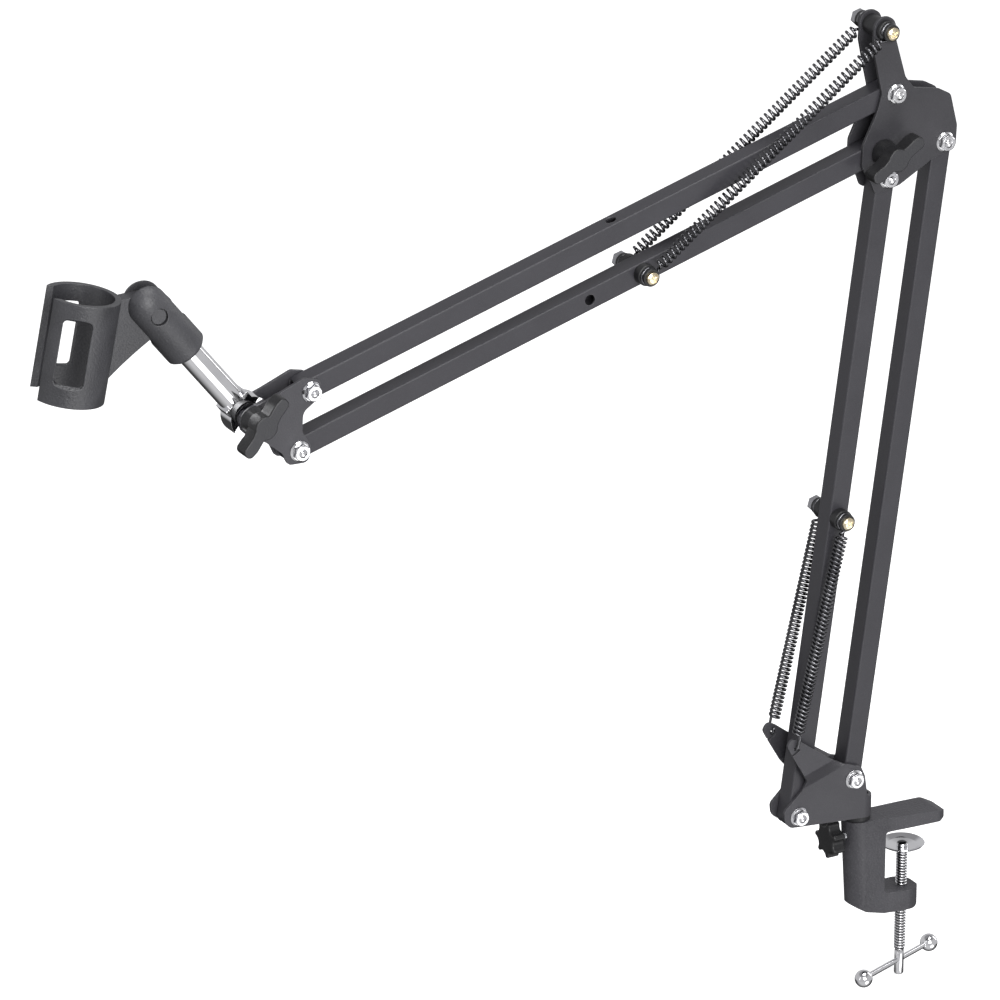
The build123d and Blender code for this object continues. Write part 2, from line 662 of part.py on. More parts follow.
front_plate_near = front_plate(-PLATE_IN)
finish(front_plate_near, "front_plate_near")
front_plate_far = front_plate(PLATE_OUT)
finish(front_plate_far, "front_plate_far")
front_pivot_bolts = pivot_bolts([F1, F2])
finish(front_pivot_bolts, "front_pivot_bolts")
front_pivot_nuts = near_nuts([F1, F2])
finish(front_pivot_nuts, "front_pivot_nuts")
front_slip_washers = slip_washers([F1, F2])
finish(front_slip_washers, "front_slip_washers")
neck_lock_bolt = wing_bolt(NECK_PIVOT)
finish(neck_lock_bolt, "neck_lock_bolt")
neck_wing_washer = wing_washer(NECK_PIVOT)
finish(neck_wing_washer, "neck_wing_washer")
neck_wing_knob = wing_knob(NECK_PIVOT, 42.0)
finish(neck_wing_knob, "neck_wing_knob")
neck_wing_insert = wing_insert(NECK_PIVOT)
finish(neck_wing_insert, "neck_wing_insert")

# ===========================================================================
# Neck
# ===========================================================================
neck_dir = Vector(cos(radians(NECK_ANGLE)), 0, sin(radians(NECK_ANGLE)))
neck_base = Vector(NECK_PIVOT[0], 0, NECK_PIVOT[1])


def neck_plane(s):
    """Plane across the neck axis, s mm from the neck pivot; local y is +Y."""
    across = Vector(0, 1, 0).cross(neck_dir)
    return Plane(origin=neck_base + neck_dir * s, x_dir=across, z_dir=neck_dir)


with BuildPart() as neck_tube:
    with BuildSketch(neck_plane(7.5)):
        Circle(NECK_R)
    extrude(amount=BARREL_START + 6.0 - 7.5)
    with BuildSketch(neck_plane(BARREL_START + 6.0)):
        Circle(PIN_R)
    extrude(amount=8.6)
    # the foot is pressed flat to fit between the plates
    with BuildSketch(Plane(origin=neck_base + Vector(0, 6.2, 0), x_dir=neck_dir, z_dir=(0, -1, 0))):
        Circle(11.6)
        with Locations((6.5, 0)):
            Rectangle(13.0, 15.6)
    extrude(amount=12.4)
    # bolt hole, and flats on the part of the tube that enters the plates
    with BuildSketch(xz(10)):
        with Locations(NECK_PIVOT):
            Circle(TUBE_HOLE_R)
    extrude(amount=20, mode=Mode.SUBTRACT)
    for s in (-1, 1):
        with BuildSketch(Plane(origin=neck_base + Vector(0, s * 6.2, 0), x_dir=neck_dir,
                               z_dir=(0, s, 0))):
            Circle(13.5)
        extrude(amount=5, mode=Mode.SUBTRACT)
finish(neck_tube, "neck_tube")

# ===========================================================================
# Barrel, hinge pin and clip; all turned together about the neck axis
# ===========================================================================
turned_y = Vector(0, 1, 0).rotate(Axis((0, 0, 0), neck_dir), BARREL_TURN)
turned_x = turned_y.cross(neck_dir)


def barrel_plane(s):
    """Plane across the neck axis, turned with the barrel; local y is the pin axis."""
    return Plane(origin=neck_base + neck_dir * s, x_dir=turned_x, z_dir=neck_dir)


pin_centre = neck_base + neck_dir * CLIP_PIN


def pin_plane(h):
    """Plane across the hinge pin, h along it; local x is the neck direction."""
    return Plane(origin=pin_centre + turned_y * h, x_dir=neck_dir, z_dir=turned_y)


with BuildPart() as swivel_barrel:
    # turned body: a cylinder with a chamfered foot and a round top
    with BuildSketch(Plane(origin=neck_base, x_dir=turned_x, z_dir=turned_y * -1)):
        with BuildLine():
            Polyline((0, BARREL_START), (BARREL_R - 1.3, BARREL_START),
                     (BARREL_R, BARREL_START + 1.5), (BARREL_R, DOME_AT))
            ThreePointArc((BARREL_R, DOME_AT),
                          (BARREL_R * cos(radians(45)), DOME_AT + BARREL_R * sin(radians(45))),
                          (0, DOME_AT + BARREL_R))
            Line((0, DOME_AT + BARREL_R), (0, BARREL_START))
        make_face()
    revolve(axis=Axis(neck_base, neck_dir))
    # slot for the clip's tongue
    with BuildSketch(pin_plane(-(TONGUE / 2 + 0.15))):
        with Locations((15 - SLOT_DEPTH, 0)):
            Rectangle(30, 40)
    extrude(amount=TONGUE + 0.3, mode=Mode.SUBTRACT)
    with BuildSketch(pin_plane(-(TONGUE / 2 + 0.15))):
        with Locations((18, 0)):
            Rectangle(30, 40)
    extrude(amount=TONGUE + 0.3, mode=Mode.SUBTRACT)
    # hinge pin bore with a round seat for the cap on each side
    with BuildSketch(pin_plane(-20)):
        Circle(2.0)
    extrude(amount=40, mode=Mode.SUBTRACT)
    for h in (-20, CAP_SEAT):
        with BuildSketch(pin_plane(h)):
            Circle(4.8)
        extrude(amount=20 - CAP_SEAT, mode=Mode.SUBTRACT)
    # bore from below for the neck and its spigot
    with BuildSketch(barrel_plane(BARREL_START - 1)):
        Circle(NECK_R + 0.06)
    extrude(amount=7.1, mode=Mode.SUBTRACT)
    with BuildSketch(barrel_plane(BARREL_START)):
        Circle(PIN_R + 0.06)
    extrude(amount=15.0, mode=Mode.SUBTRACT)
finish(swivel_barrel, "swivel_barrel")

with BuildPart() as clip_hinge_pin:
    with BuildSketch(pin_plane(-CAP_SEAT)):
        Circle(1.95)
    extrude(amount=2 * CAP_SEAT)
finish(clip_hinge_pin, "clip_hinge_pin")

with BuildPart() as hinge_caps:
    with BuildSketch(pin_plane(-CAP_SEAT - 1.7)):
        Circle(4.15)
    extrude(amount=1.7)
    with BuildSketch(pin_plane(CAP_SEAT)):
        Circle(4.15)
    extrude(amount=1.7)
finish(hinge_caps, "hinge_caps")

# the clip's own axis, tilted in the plane and turned with the barrel
clip_up = Vector(sin(radians(CLIP_TILT)), 0, cos(radians(CLIP_TILT))).rotate(
    Axis((0, 0, 0), neck_dir), BARREL_TURN)
clip_back = turned_y.cross(clip_up)
clip_centre = pin_centre - clip_back * CLIP_REACH
ring_back = clip_back.rotate(Axis((0, 0, 0), clip_up), RING_TURN)


def clip_plane(h):
    """Plane across the clip axis, h above the hinge pin; local x points to the pin."""
    return Plane(origin=clip_centre + clip_up * h, x_dir=clip_back, z_dir=clip_up)


def ring_plane(h):
    """The same plane, turned so that local -x points at the lengthwise slot."""
    return Plane(origin=clip_centre + clip_up * h, x_dir=ring_back, z_dir=clip_up)


def clip_side(h):
    """Plane across the hinge pin axis through the clip; local x to the pin, local y up."""
    return Plane(origin=clip_centre + turned_y * h, x_dir=clip_back, z_dir=turned_y * -1)


SLOT_HALF = 10.2
with BuildPart() as mic_clip:
    with BuildSketch(clip_plane(CLIP_TOP - CLIP_H)):
        Circle(CLIP_R)
    extrude(amount=CLIP_H)
    # tongue that reaches the hinge pin, with a hollow lower edge
    with BuildSketch(clip_side(TONGUE / 2)):
        with BuildLine():
            Line((0, CLIP_TOP - 2.4), (17.0, CLIP_TOP - 2.0))
            Line((17.0, CLIP_TOP - 2.0), (CLIP_REACH - 3.0, 10.6))
            ThreePointArc((CLIP_REACH - 3.0, 10.6), (CLIP_REACH + 10.6, 3.0),
                          (CLIP_REACH + 5.0, -9.8))
            Line((CLIP_REACH + 5.0, -9.8), (CLIP_REACH + 0.4, -14.8))
            ThreePointArc((CLIP_REACH + 0.4, -14.8), (CLIP_REACH - 9.3, -24.4), (18.5, -38.6))
            Line((18.5, -38.6), (0, -38.6))
            Line((0, -38.6), (0, CLIP_TOP - 2.4))
        make_face()
    extrude(amount=TONGUE)
    # round bore, open to the front through a lengthwise slot
    with BuildSketch(clip_plane(CLIP_TOP - CLIP_H - 1)):
        Circle(CLIP_R - CLIP_WALL)
    extrude(amount=CLIP_H + 2, mode=Mode.SUBTRACT)
    with BuildSketch(ring_plane(CLIP_TOP - CLIP_H - 1)):
        with Locations((-CLIP_R, 0)):
            Rectangle(2 * CLIP_R, 2 * SLOT_HALF)
    extrude(amount=CLIP_H + 2, mode=Mode.SUBTRACT)
    # a window through each side wall, with a wide outer bevel
    for turn in (76.5, -76.5):
        wall_dir = (ring_back * -1).rotate(Axis((0, 0, 0), clip_up), turn)
        window = Plane(origin=clip_centre + clip_up * (CLIP_TOP - 26.7) + wall_dir * (CLIP_R + 1.5),
                       x_dir=wall_dir.cross(clip_up) * -1, z_dir=wall_dir * -1)
        with BuildSketch(window):
            RectangleRounded(20.6, 40.0, 3.6)
        with BuildSketch(window.offset(3.6)):
            RectangleRounded(15.2, 34.8, 2.2)
        loft(mode=Mode.SUBTRACT)
        with BuildSketch(window.offset(3.0)):
            RectangleRounded(15.2, 34.8, 2.2)
        extrude(amount=6, mode=Mode.SUBTRACT)
    # hinge pin bore
    with BuildSketch(pin_plane(-20)):
        Circle(2.0)
    extrude(amount=40, mode=Mode.SUBTRACT)
finish(mic_clip, "mic_clip")
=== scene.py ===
import math

import bpy
import numpy as np
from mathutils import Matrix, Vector


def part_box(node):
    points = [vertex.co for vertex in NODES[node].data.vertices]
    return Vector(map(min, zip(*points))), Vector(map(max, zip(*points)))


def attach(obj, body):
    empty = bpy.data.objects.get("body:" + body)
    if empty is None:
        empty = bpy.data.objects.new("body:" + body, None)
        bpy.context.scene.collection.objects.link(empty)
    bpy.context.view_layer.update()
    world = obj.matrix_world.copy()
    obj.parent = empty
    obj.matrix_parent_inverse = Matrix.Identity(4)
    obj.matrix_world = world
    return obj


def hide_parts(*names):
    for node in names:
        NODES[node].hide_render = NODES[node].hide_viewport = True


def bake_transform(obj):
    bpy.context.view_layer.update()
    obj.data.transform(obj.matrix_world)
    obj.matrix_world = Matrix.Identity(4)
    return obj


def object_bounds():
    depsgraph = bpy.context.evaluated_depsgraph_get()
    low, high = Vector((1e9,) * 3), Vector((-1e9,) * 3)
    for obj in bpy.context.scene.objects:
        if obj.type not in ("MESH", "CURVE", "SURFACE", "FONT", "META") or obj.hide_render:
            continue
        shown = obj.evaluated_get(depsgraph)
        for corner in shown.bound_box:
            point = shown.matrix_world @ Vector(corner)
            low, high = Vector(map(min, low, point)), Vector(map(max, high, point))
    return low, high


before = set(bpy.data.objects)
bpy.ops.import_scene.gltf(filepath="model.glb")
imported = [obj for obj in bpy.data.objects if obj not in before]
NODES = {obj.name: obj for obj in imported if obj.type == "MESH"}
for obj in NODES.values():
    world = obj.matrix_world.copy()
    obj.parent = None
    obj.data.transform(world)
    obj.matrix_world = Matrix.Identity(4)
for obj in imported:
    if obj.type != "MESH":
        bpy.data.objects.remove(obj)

CAD_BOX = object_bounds()
SCENE = bpy.context.scene
SCENE.view_settings.view_transform = "Standard"
MM = 0.001

# ---------------------------------------------------------------------------
# Camera: long lens, a little above the stand and to its front left
# ---------------------------------------------------------------------------
AZ, EL, DIST, LENS = math.radians(-29.08), math.radians(22.01), 3.345, 223.3
TARGET = Vector((-0.2643, 0.0, 0.2504))
back = Vector((math.sin(AZ) * math.cos(EL), -math.cos(AZ) * math.cos(EL), math.sin(EL)))
cam_data = bpy.data.cameras.new("camera")
cam_data.lens = LENS
cam_data.sensor_width = 36.0
cam_data.clip_start = 0.05
cam_data.clip_end = 60.0
camera = bpy.data.objects.new("camera", cam_data)
camera.location = TARGET + back * DIST
camera.rotation_euler = (-back).to_track_quat("-Z", "Y").to_euler()
SCENE.collection.objects.link(camera)
SCENE.camera = camera
bpy.context.scene.camera = camera


# ---------------------------------------------------------------------------
# Material helpers
# ---------------------------------------------------------------------------
class Graph:
    """A node tree with short ways to add and join nodes."""

    def __init__(self, name):
        self.mat = bpy.data.materials.new(name)
        self.mat.use_nodes = True
        self.tree = self.mat.node_tree
        self.bsdf = next(n for n in self.tree.nodes if n.type == "BSDF_PRINCIPLED")
        self.coord = self.node("ShaderNodeTexCoord").outputs["Object"]

    def node(self, kind, **props):
        n = self.tree.nodes.new(kind)
        for k, v in props.items():
            setattr(n, k, v)
        return n

    def put(self, socket, value):
        if isinstance(value, bpy.types.NodeSocket):
            self.tree.links.new(value, socket)
        elif isinstance(value, (tuple, list)) and socket.type == "RGBA" and len(value) == 3:
            socket.default_value = (*value, 1.0)
        else:
            socket.default_value = value

    def noise(self, scale, detail=2.0, rough=0.5, stretch=None, distortion=0.0):
        n = self.node("ShaderNodeTexNoise")
        vector = self.coord
        if stretch:
            m = self.node("ShaderNodeMapping")
            self.put(m.inputs["Vector"], self.coord)
            m.inputs["Rotation"].default_value = stretch[1]
            m.inputs["Scale"].default_value = stretch[0]
            vector = m.outputs["Vector"]
        self.put(n.inputs["Vector"], vector)
        self.put(n.inputs["Scale"], scale)
        self.put(n.inputs["Detail"], detail)
        self.put(n.inputs["Roughness"], rough)
        self.put(n.inputs["Distortion"], distortion)
        return n.outputs["Fac"]

    def cells(self, scale, smooth=0.0):
        n = self.node("ShaderNodeTexVoronoi")
        n.feature = "SMOOTH_F1" if smooth else "F1"
        self.put(n.inputs["Vector"], self.coord)
        self.put(n.inputs["Scale"], scale)
        if smooth:
            self.put(n.inputs["Smoothness"], smooth)
        return n.outputs["Distance"]

    def math(self, op, a, b=0.0, clamp=False):
        n = self.node("ShaderNodeMath", operation=op, use_clamp=clamp)
        self.put(n.inputs[0], a)
        self.put(n.inputs[1], b)
        return n.outputs[0]

    def span(self, value, low, high, to_low=0.0, to_high=1.0):
        n = self.node("ShaderNodeMapRange")
        n.clamp = True
        for key, v in (("Value", value), ("From Min", low), ("From Max", high),
                       ("To Min", to_low), ("To Max", to_high)):
            self.put(n.inputs[key], v)
        return n.outputs["Result"]

    def mix(self, fac, a, b, mode="MIX"):
        n = self.node("ShaderNodeMix", data_type="RGBA", blend_type=mode)
        self.put(n.inputs["Factor"], fac)
        self.put(n.inputs[6], a)
        self.put(n.inputs[7], b)
        return n.outputs[2]

    def rounded(self, radius):
        n = self.node("ShaderNodeBevel", samples=6)
        n.inputs["Radius"].default_value = radius
        return n.outputs["Normal"]

    def edge(self, radius, low=0.02, high=0.22):
        """1 on sharp edges, 0 on flats."""
        normal = self.rounded(radius)
        geometry = self.node("ShaderNodeNewGeometry")
        dot = self.node("ShaderNodeVectorMath", operation="DOT_PRODUCT")
        self.put(dot.inputs[0], normal)
        self.put(dot.inputs[1], geometry.outputs["Normal"])
        return self.span(self.math("SUBTRACT", 1.0, dot.outputs["Value"]), low, high)

    def bump(self, height, strength, distance, normal=None):
        n = self.node("ShaderNodeBump")
        self.put(n.inputs["Height"], height)
        self.put(n.inputs["Strength"], strength)
        self.put(n.inputs["Distance"], distance)
        if normal is not None:
            self.put(n.inputs["Normal"], normal)
        return n.outputs["Normal"]

    def set(self, **values):
        names = {"color": "Base Color", "metallic": "Metallic", "roughness": "Roughness",
                 "normal": "Normal", "specular": "Specular IOR Level", "coat": "Coat Weight",
                 "coat_roughness": "Coat Roughness", "ior": "IOR"}
        for k, v in values.items():
            self.put(self.bsdf.inputs[names[k]], v)
        return self.mat


def paint(name, dark, light, wear_highlight_tone, grain, grain_depth, rough, edge_radius=0.0004,
          edge_wear_highlight=0.35, specular=0.4, face=None):
    """Painted or moulded surface: mottled colour, fine grain, rounded edges lightened partly as wear and
    partly as a painted highlight.
    """
    g = Graph(name)
    broad = g.noise(38.0, 3.0, 0.55)
    fine = g.noise(grain, 3.0, 0.6)
    speck = g.span(g.noise(grain * 2.2, 1.0), 0.62, 0.8)
    color = g.mix(g.span(broad, 0.3, 0.7), dark, light)
    color = g.mix(g.math("MULTIPLY", g.span(fine, 0.35, 0.7), 0.5), color, light)
    color = g.mix(g.math("MULTIPLY", speck, 0.35), color, wear_highlight_tone)
    patchy = g.span(g.noise(240.0, 2.0), 0.35, 0.65)
    # painted highlight: sharp edges are lightened towards the wear tone, partly wear and partly a
    # painted highlight along the edges
    edge = g.math("MULTIPLY", g.edge(edge_radius), g.math("MULTIPLY", patchy, edge_wear_highlight))
    color = g.mix(edge, color, wear_highlight_tone)
    if face:
        # painted light: faces pointing to the front (-Y) get a lighter colour than the sides
        split = g.node("ShaderNodeSeparateXYZ")
        g.put(split.inputs[0], g.node("ShaderNodeNewGeometry").outputs["Normal"])
        front = g.span(g.math("MULTIPLY", split.outputs["Y"], -1.0), 0.80, 0.97)
        color = g.mix(front, color, g.mix(fine, face, tuple(c * 1.3 for c in face)))
    roughness = g.span(g.math("ADD", g.math("MULTIPLY", broad, 0.6), g.math("MULTIPLY", fine, 0.4)),
                       0.35, 0.65, rough - 0.06, rough + 0.08)
    normal = g.bump(g.math("ADD", fine, g.math("MULTIPLY", g.cells(grain * 0.8), 0.6)),
                    1.0, grain_depth, g.rounded(edge_radius))
    return g.set(color=color, roughness=roughness, normal=normal, specular=specular)


def metal(name, dark, light, rough, grain=1500.0, scratch=0.25, edge_radius=0.00025, bump=0.0000025,
          stretch=None, grime=None, painted_corner_shade=0.0):
    """Bare or plated metal: tone and roughness wander, fine directional scratches."""
    g = Graph(name)
    broad = g.noise(55.0, 3.0, 0.5)
    lines = g.noise(grain, 2.0, 0.6, stretch=stretch or ((1.0, 1.0, 0.08), (0.0, 0.0, 0.0)))
    color = g.mix(g.span(broad, 0.3, 0.7), dark, light)
    color = g.mix(g.math("MULTIPLY", g.span(lines, 0.5, 0.75), scratch * 0.5), color, dark)
    if grime:
        color = g.mix(g.math("MULTIPLY", g.span(g.noise(420.0, 3.0), 0.55, 0.75), 0.5), color, grime)
    if painted_corner_shade:
        # painted shade: colour darkened towards black in corners and crevices, by ambient occlusion
        corner_occlusion = g.node("ShaderNodeAmbientOcclusion", samples=8)
        g.put(corner_occlusion.inputs["Distance"], painted_corner_shade)
        color = g.mix(g.span(corner_occlusion.outputs["AO"], 0.35, 0.75), (0.03, 0.03, 0.03), color)
    roughness = g.span(g.math("ADD", g.math("MULTIPLY", broad, 0.5), g.math("MULTIPLY", lines, 0.5)),
                       0.35, 0.65, rough * 0.75, rough * 1.3)
    normal = g.bump(lines, scratch, bump, g.rounded(edge_radius))
    return g.set(color=color, metallic=1.0, roughness=roughness, normal=normal)


M = {
    "clamp": paint("clamp_powder_coat", (0.036, 0.035, 0.040), (0.058, 0.057, 0.064),
                   (0.19, 0.19, 0.20), 820.0, 0.00022, 0.47, edge_wear_highlight=0.6),
    "plate": paint("plate_powder_coat", (0.038, 0.037, 0.043), (0.052, 0.051, 0.057),
                   (0.20, 0.20, 0.21), 1500.0, 0.00005, 0.42, edge_radius=0.0004, edge_wear_highlight=0.8),
    # painted shade: a darker copy of the plate paint, used for the elbow plates
    "plate_painted_shade": paint("elbow_powder_coat_painted_shade", (0.026, 0.0255, 0.029), (0.037, 0.036, 0.041),
                       (0.18, 0.18, 0.19), 1500.0, 0.00005, 0.42, edge_radius=0.0004, edge_wear_highlight=0.8),
    "tube": paint("tube_satin_paint", (0.029, 0.028, 0.033), (0.037, 0.036, 0.042),
                  (0.20, 0.20, 0.21), 1900.0, 0.00002, 0.38, edge_radius=0.0007, edge_wear_highlight=0.9),
    "clip": paint("clip_grained_plastic", (0.024, 0.024, 0.027), (0.044, 0.044, 0.049),
                  (0.16, 0.16, 0.17), 980.0, 0.00018, 0.40, edge_radius=0.0006, edge_wear_highlight=0.5,
                  specular=0.55),
    "plastic": paint("black_moulded_nylon", (0.009, 0.009, 0.010), (0.017, 0.017, 0.018),
                     (0.06, 0.06, 0.065), 1300.0, 0.00004, 0.36, edge_radius=0.0006, edge_wear_highlight=0.4),
    # wing knobs: the lighter front faces are painted light
    "wing": paint("nylon_wing_painted_front_light", (0.007, 0.007, 0.008), (0.014, 0.014, 0.015),
                  (0.09, 0.09, 0.095), 1300.0, 0.00006, 0.36, edge_radius=0.0006, edge_wear_highlight=0.5,
                  face=(0.028, 0.028, 0.031)),
    "slip": paint("black_slip_nylon", (0.010, 0.010, 0.011), (0.020, 0.020, 0.022),
                  (0.05, 0.05, 0.05), 1800.0, 0.00001, 0.5, edge_wear_highlight=0.2),
    "chrome": metal("bright_chrome", (0.84, 0.84, 0.86), (0.95, 0.95, 0.96), 0.055),
    # plated nuts carry painted shade in their corners
    "nut": metal("plated_nut", (0.80, 0.80, 0.83), (0.94, 0.94, 0.95), 0.13, grain=900.0,
                 scratch=0.08, bump=0.0000005, edge_radius=0.0002,
                 painted_corner_shade=0.0016),
    "thread": None,
    "black_steel": metal("black_oxide_steel", (0.035, 0.035, 0.04), (0.075, 0.075, 0.082), 0.34,
                         scratch=0.4),
    "steel": metal("turned_steel", (0.42, 0.42, 0.44), (0.62, 0.62, 0.64), 0.24, scratch=0.5),
    "grey_nut": metal("grey_plated_nut", (0.34, 0.34, 0.36), (0.52, 0.52, 0.54), 0.28, scratch=0.3),
    "brass": metal("yellow_plated_brass", (0.84, 0.70, 0.46), (0.98, 0.90, 0.70), 0.2,
                   scratch=0.3, grime=(0.42, 0.29, 0.13)),
    "spring": metal("oiled_spring_wire", (0.085, 0.085, 0.092), (0.20, 0.20, 0.21), 0.19,
                    grain=1200.0, scratch=0.3, grime=(0.02, 0.02, 0.02)),
}

# plated thread: bright crests; the roots are painted dark as shade in the thread's grooves
g = Graph("plated_thread")
split = g.node("ShaderNodeSeparateXYZ")
g.put(split.inputs[0], g.coord)
radius = g.math("SQRT", g.math("ADD", g.math("POWER", split.outputs["X"], 2.0),
                               g.math("POWER", split.outputs["Y"], 2.0)))
crest = g.span(radius, 0.00268, 0.00318)
wander = g.span(g.noise(500.0, 3.0), 0.3, 0.7)
painted_root_shade = g.mix(wander, (0.03, 0.03, 0.033), (0.07, 0.07, 0.075))
below = g.span(split.outputs["Z"], -0.0805, -0.0825)
shank = g.mix(wander, (0.82, 0.82, 0.84), (0.95, 0.95, 0.96))
M["thread"] = g.set(color=g.mix(g.math("MAXIMUM", crest, below), painted_root_shade, shank), metallic=1.0,
                    roughness=g.span(wander, 0.0, 1.0, 0.07, 0.14))

FINISH = {
    "clamp": ["clamp_frame"],
    "plate": ["base_bracket", "front_plate_near", "front_plate_far"],
    "plate_painted_shade": ["elbow_plate_near", "elbow_plate_far"],
    "tube": ["lower_front_tube", "lower_rear_tube", "upper_top_tube", "upper_lower_tube"],
    "clip": ["swivel_barrel", "hinge_caps", "mic_clip"],
    "wing": ["elbow_wing_knob", "neck_wing_knob"],
    "plastic": ["lock_knob", "elbow_post_spools",
                "elbow_post_spacer", "lower_post_spools", "upper_post_spools",
                "elbow_wing_washer", "neck_wing_washer"],
    "slip": ["base_slip_washers", "elbow_slip_washers", "front_slip_washers", "thrust_washer"],
    "chrome": ["pressure_disc", "tommy_bar", "tommy_bar_ends", "neck_tube"],
    "nut": ["base_pivot_nuts", "elbow_pivot_nuts", "front_pivot_nuts", "base_pivot_bolts",
            "elbow_pivot_bolts", "front_pivot_bolts"],
    "black_steel": ["elbow_wing_bolt", "neck_lock_bolt"],
    "steel": ["lock_stud", "swivel_pin", "clip_hinge_pin"],
    "grey_nut": ["elbow_post_nut", "lower_post_nut", "upper_post_nut"],
    "brass": ["elbow_post_screw", "lower_post_screw", "upper_post_screw", "elbow_wing_insert",
              "neck_wing_insert"],
}
for finish, names in FINISH.items():
    for n in names:
        for s in NODES[n].material_slots:
            s.material = M[finish]


# ---------------------------------------------------------------------------
# Mesh helpers
# ---------------------------------------------------------------------------
def mesh_object(name, verts, faces, material, smooth=True, sharp_angle=None):
    mesh = bpy.data.meshes.new(name)
    mesh.from_pydata([tuple(map(float, v)) for v in verts], [], [tuple(map(int, f)) for f in faces])
    mesh.validate()
    mesh.update()
    for p in mesh.polygons:
        p.use_smooth = smooth
    if sharp_angle is not None:
        mesh.set_sharp_from_angle(angle=math.radians(sharp_angle))
    mesh.materials.append(material)
    obj = bpy.data.objects.new(name, mesh)
    SCENE.collection.objects.link(obj)
    return obj


def wire(points, radius, sides=10):
    """Vertices and faces of a round wire along the points, with domed ends."""
    p = np.array(points, float)
    tangent = np.gradient(p, axis=0)
    tangent /= np.linalg.norm(tangent, axis=1)[:, None]
    normal = np.cross(tangent[0], (0.0, 0.0, 1.0))
    if np.linalg.norm(normal) < 1e-3:
        normal = np.cross(tangent[0], (1.0, 0.0, 0.0))
    normal /= np.linalg.norm(normal)
    ring = np.linspace(0, 2 * math.pi, sides, endpoint=False)
    verts, rows = [], []

    def row(centre, n, b, r):
        rows.append(len(verts))
        verts.extend(centre + r * (math.cos(a) * n + math.sin(a) * b) for a in ring)

    for i in range(len(p)):
        normal = normal - tangent[i] * float(np.dot(normal, tangent[i]))
        normal /= np.linalg.norm(normal)
        b = np.cross(tangent[i], normal)
        if i == 0:
            for k in (0.35, 0.75):
                row(p[0] - tangent[0] * radius * (1 - k) * 0.8, normal, b, radius * math.sqrt(k))
        row(p[i], normal, b, radius)
        if i == len(p) - 1:
            for k in (0.75, 0.35):
                row(p[i] + tangent[i] * radius * (1 - k) * 0.8, normal, b, radius * math.sqrt(k))
    faces = []
    for r0, r1 in zip(rows, rows[1:]):
        for k in range(sides):
            k1 = (k + 1) % sides
            faces.append((r0 + k, r0 + k1, r1 + k1, r1 + k))
    faces.append(tuple(rows[0] + k for k in reversed(range(sides))))
    faces.append(tuple(rows[-1] + k for k in range(sides)))
    return verts, faces


def smooth_path(points, steps=6):
    """Catmull-Rom through the points."""
    p = [np.array(q, float) for q in points]
    p = [2 * p[0] - p[1], *p, 2 * p[-1] - p[-2]]
    out = []
    for i in range(1, len(p) - 2):
        for k in range(steps):
            t = k / steps
            out.append(0.5 * (2 * p[i] + (p[i + 1] - p[i - 1]) * t
                              + (2 * p[i - 1] - 5 * p[i] + 4 * p[i + 1] - p[i + 2]) * t * t
                              + (3 * p[i] - p[i - 1] - 3 * p[i + 1] + p[i + 2]) * t ** 3))
    out.append(p[-2])
    return out


def lathe(profile, origin, axis, side, sides=64, close=True):
    """Vertices and faces of a profile of (radius, height) turned about an axis."""
    origin, axis, side = np.array(origin, float), np.array(axis, float), np.array(side, float)
    axis = axis / np.linalg.norm(axis)
    side = side - axis * side.dot(axis)
    side = side / np.linalg.norm(side)
    third = np.cross(axis, side)
    verts, faces, rows = [], [], []
    for r, h in profile:
        if r < 1e-9:
            rows.append((len(verts), 1))
            verts.append(origin + axis * h)
        else:
            rows.append((len(verts), sides))
            verts.extend(origin + axis * h + r * (math.cos(a) * side + math.sin(a) * third)
                         for a in np.linspace(0, 2 * math.pi, sides, endpoint=False))
    pairs = list(zip(rows, rows[1:]))
    if close:
        pairs.append((rows[-1], rows[0]))
    for (a, na), (b, nb) in pairs:
        for k in range(sides):
            k1 = (k + 1) % sides
            if na == 1 and nb == 1:
                continue
            if na == 1:
                faces.append((a, b + k1, b + k))
            elif nb == 1:
                faces.append((a + k, a + k1, b))
            else:
                faces.append((a + k, a + k1, b + k1, b + k))
    return verts, faces


def join(parts):
    verts, faces = [], []
    for v, f in parts:
        base = len(verts)
        verts.extend(v)
        faces.extend(tuple(base + i for i in face) for face in f)
    return verts, faces


# ---------------------------------------------------------------------------
# Springs: coiled wire with an eye round each post, or a hook through the ear
# ---------------------------------------------------------------------------
WIRE_R, COIL_R, EYE_R, LEAD = 0.82 * MM, 2.77 * MM, 4.6 * MM, 9.0 * MM


def centre_of(node):
    low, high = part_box(node)
    return (low + high) / 2


def post_point(node):
    """Axis of a spring post, in the XZ plane."""
    c = centre_of(node)
    return np.array((c.x, 0.0, c.z))


